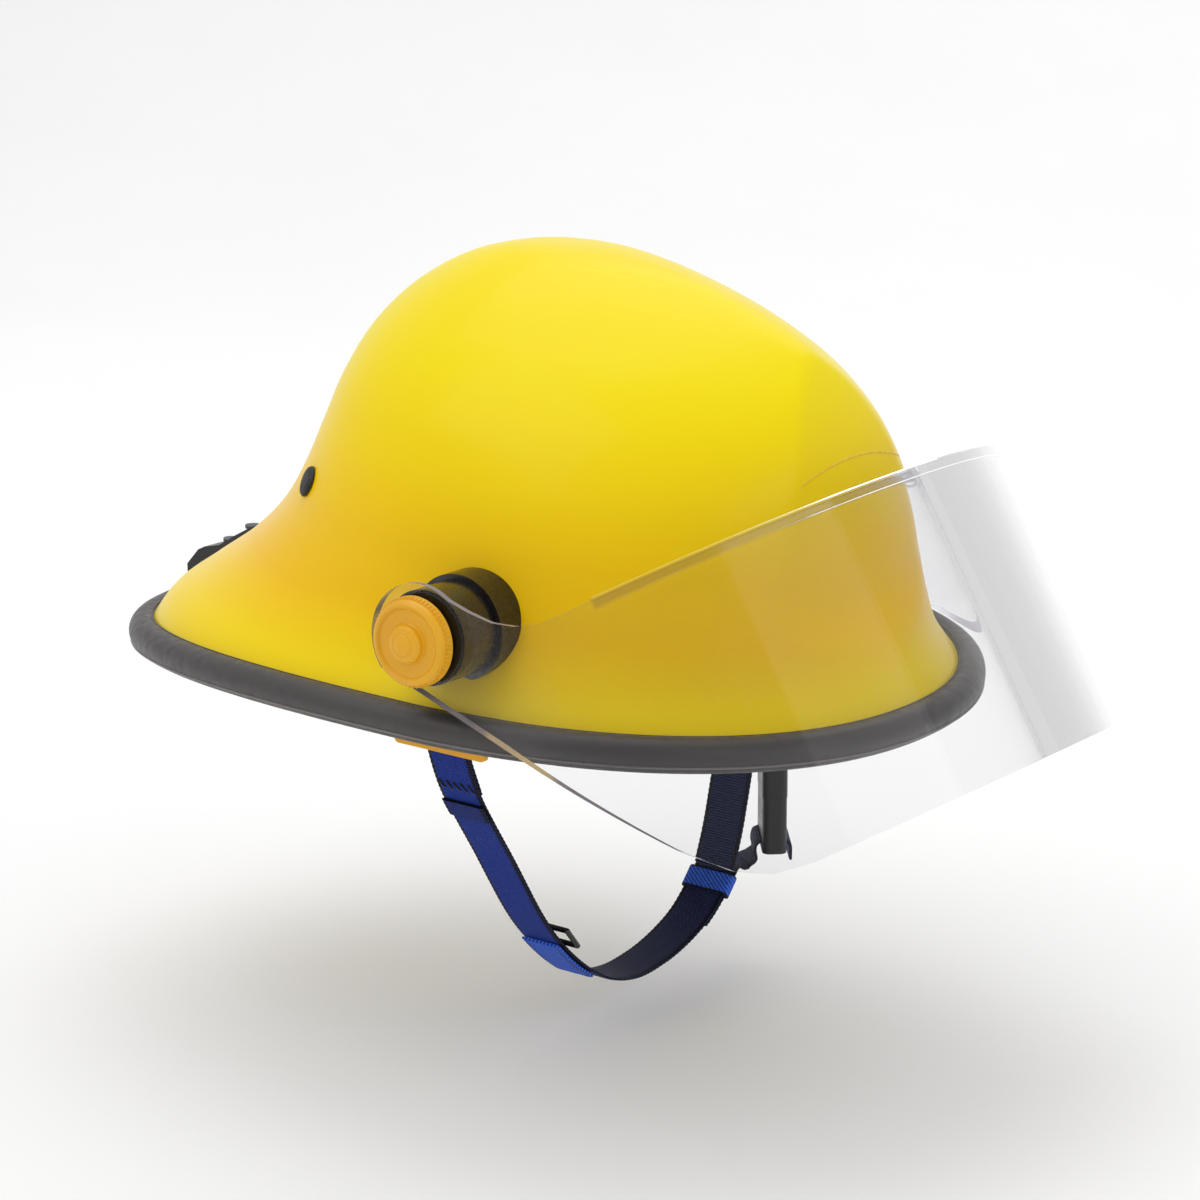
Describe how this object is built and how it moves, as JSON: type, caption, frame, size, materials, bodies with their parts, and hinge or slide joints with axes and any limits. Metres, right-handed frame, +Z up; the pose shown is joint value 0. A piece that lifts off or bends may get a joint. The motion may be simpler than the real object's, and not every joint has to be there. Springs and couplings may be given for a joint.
{
  "type": "firefighter helmet",
  "caption": "Wide-brimmed yellow fire helmet with rubber edge bead, clear hinged face shield on side knobs, foam liner, ratchet headband and blue webbing chin strap.",
  "frame": {"origin": "centre of the head opening, at the height of the brim edge", "axes": "+X towards the front of the helmet, +Y towards the wearer's left, +Z up to the crown"},
  "size_m": [0.4053, 0.3024, 0.2909],
  "materials": {
    "shell_yellow": "glossy gel-coated composite",
    "trim_rubber": "satin extruded rubber bead",
    "visor_clear": "clear polished polycarbonate",
    "black_plastic": "moulded nylon, fine grain",
    "black_rubber": "matt rubber",
    "steel": "bright plated",
    "dark_steel": "black lacquered",
    "knob_yellow": "satin moulded, knurled",
    "liner_foam": "moulded foam skin",
    "black_webbing": "woven webbing",
    "pad_fabric": "brushed knit over foam",
    "band_plastic": "moulded polyethylene",
    "pinion_plastic": "acetal",
    "anchor_yellow": "moulded",
    "blue_webbing": "woven webbing",
    "black_metal": "black lacquered wire"
  },
  "bodies": {
    "helmet": {"shell": "shell_yellow", "edge_trim": "trim_rubber", "pivot_boss_right": "black_plastic", "pivot_boss_left": "black_plastic", "friction_washers": "black_rubber", "pivot_bolts": "steel", "bolt_spacers": "steel", "strap_bracket_right": "black_plastic", "strap_bracket_left": "black_plastic", "strap_pivot_pins": "steel", "side_plugs": "black_plastic", "rear_clip": "black_plastic", "rear_clip_rivets": "dark_steel", "impact_liner": "liner_foam", "crown_straps": "black_webbing", "crown_pad": "pad_fabric", "suspension_hangers": "black_plastic", "brow_bracket": "black_plastic", "brow_pin": "steel", "brow_pad": "pad_fabric", "ratchet_housing": "black_plastic", "ratchet_cover": "black_plastic", "ratchet_screws": "steel", "ratchet_arms": "black_plastic", "nape_pad": "pad_fabric"},
    "visor": {"visor_sheet": "visor_clear", "visor_edge_strip": "visor_clear"},
    "knob_right": {"visor_knob_right": "knob_yellow"},
    "knob_left": {"visor_knob_left": "knob_yellow"},
    "headband_left": {"headband_left": "band_plastic", "sweatband_left": "pad_fabric"},
    "headband_right": {"headband_right": "band_plastic", "sweatband_right": "pad_fabric"},
    "ratchet": {"ratchet_pinion": "pinion_plastic", "ratchet_knob": "black_plastic"},
    "chin_strap": {"chin_anchor_right": "anchor_yellow", "chin_anchor_left": "anchor_yellow", "chin_webbing_right": "blue_webbing", "chin_webbing_left": "blue_webbing", "chin_guard_flap": "blue_webbing", "strap_slide": "black_metal", "strap_keeper": "blue_webbing", "buckle_socket": "black_plastic", "buckle_plug": "black_plastic"}
  },
  "joints": [
    {"name": "visor_pivot", "type": "hinge", "parent": "helmet", "child": "visor", "pos_m": [0.0125, 0, 0.037], "axis": [0, -1, 0], "range_deg": [-31, 45]},
    {"name": "knob_right_turn", "type": "hinge", "parent": "helmet", "child": "knob_right", "pos_m": [0.0125, -0.145, 0.037], "axis": [0, -1, 0], "range_deg": [0, 180]},
    {"name": "knob_left_turn", "type": "hinge", "parent": "helmet", "child": "knob_left", "pos_m": [0.0125, 0.145, 0.037], "axis": [0, 1, 0], "range_deg": [0, 180]},
    {"name": "ratchet_turn", "type": "hinge", "parent": "helmet", "child": "ratchet", "pos_m": [-0.112, 0, -0.002], "axis": [1, 0, 0], "range_deg": [-200, 200]},
    {"name": "headband_left_draw", "type": "hinge", "parent": "helmet", "child": "headband_left", "pos_m": [0.0906, 0, 0], "axis": [0, 0, 1], "range_deg": [-5, 5]},
    {"name": "headband_right_draw", "type": "hinge", "parent": "helmet", "child": "headband_right", "pos_m": [0.0906, 0, 0], "axis": [0, 0, -1], "range_deg": [-5, 5]},
    {"name": "chin_strap_swing", "type": "hinge", "parent": "helmet", "child": "chin_strap", "pos_m": [0, 0, 0.003], "axis": [0, -1, 0], "range_deg": [-60, 60]}
  ],
  "couplings": [
    {"joint": "headband_left_draw", "follows": "ratchet_turn", "ratio": 0.024679},
    {"joint": "headband_right_draw", "follows": "ratchet_turn", "ratio": 0.024679}
  ]
}
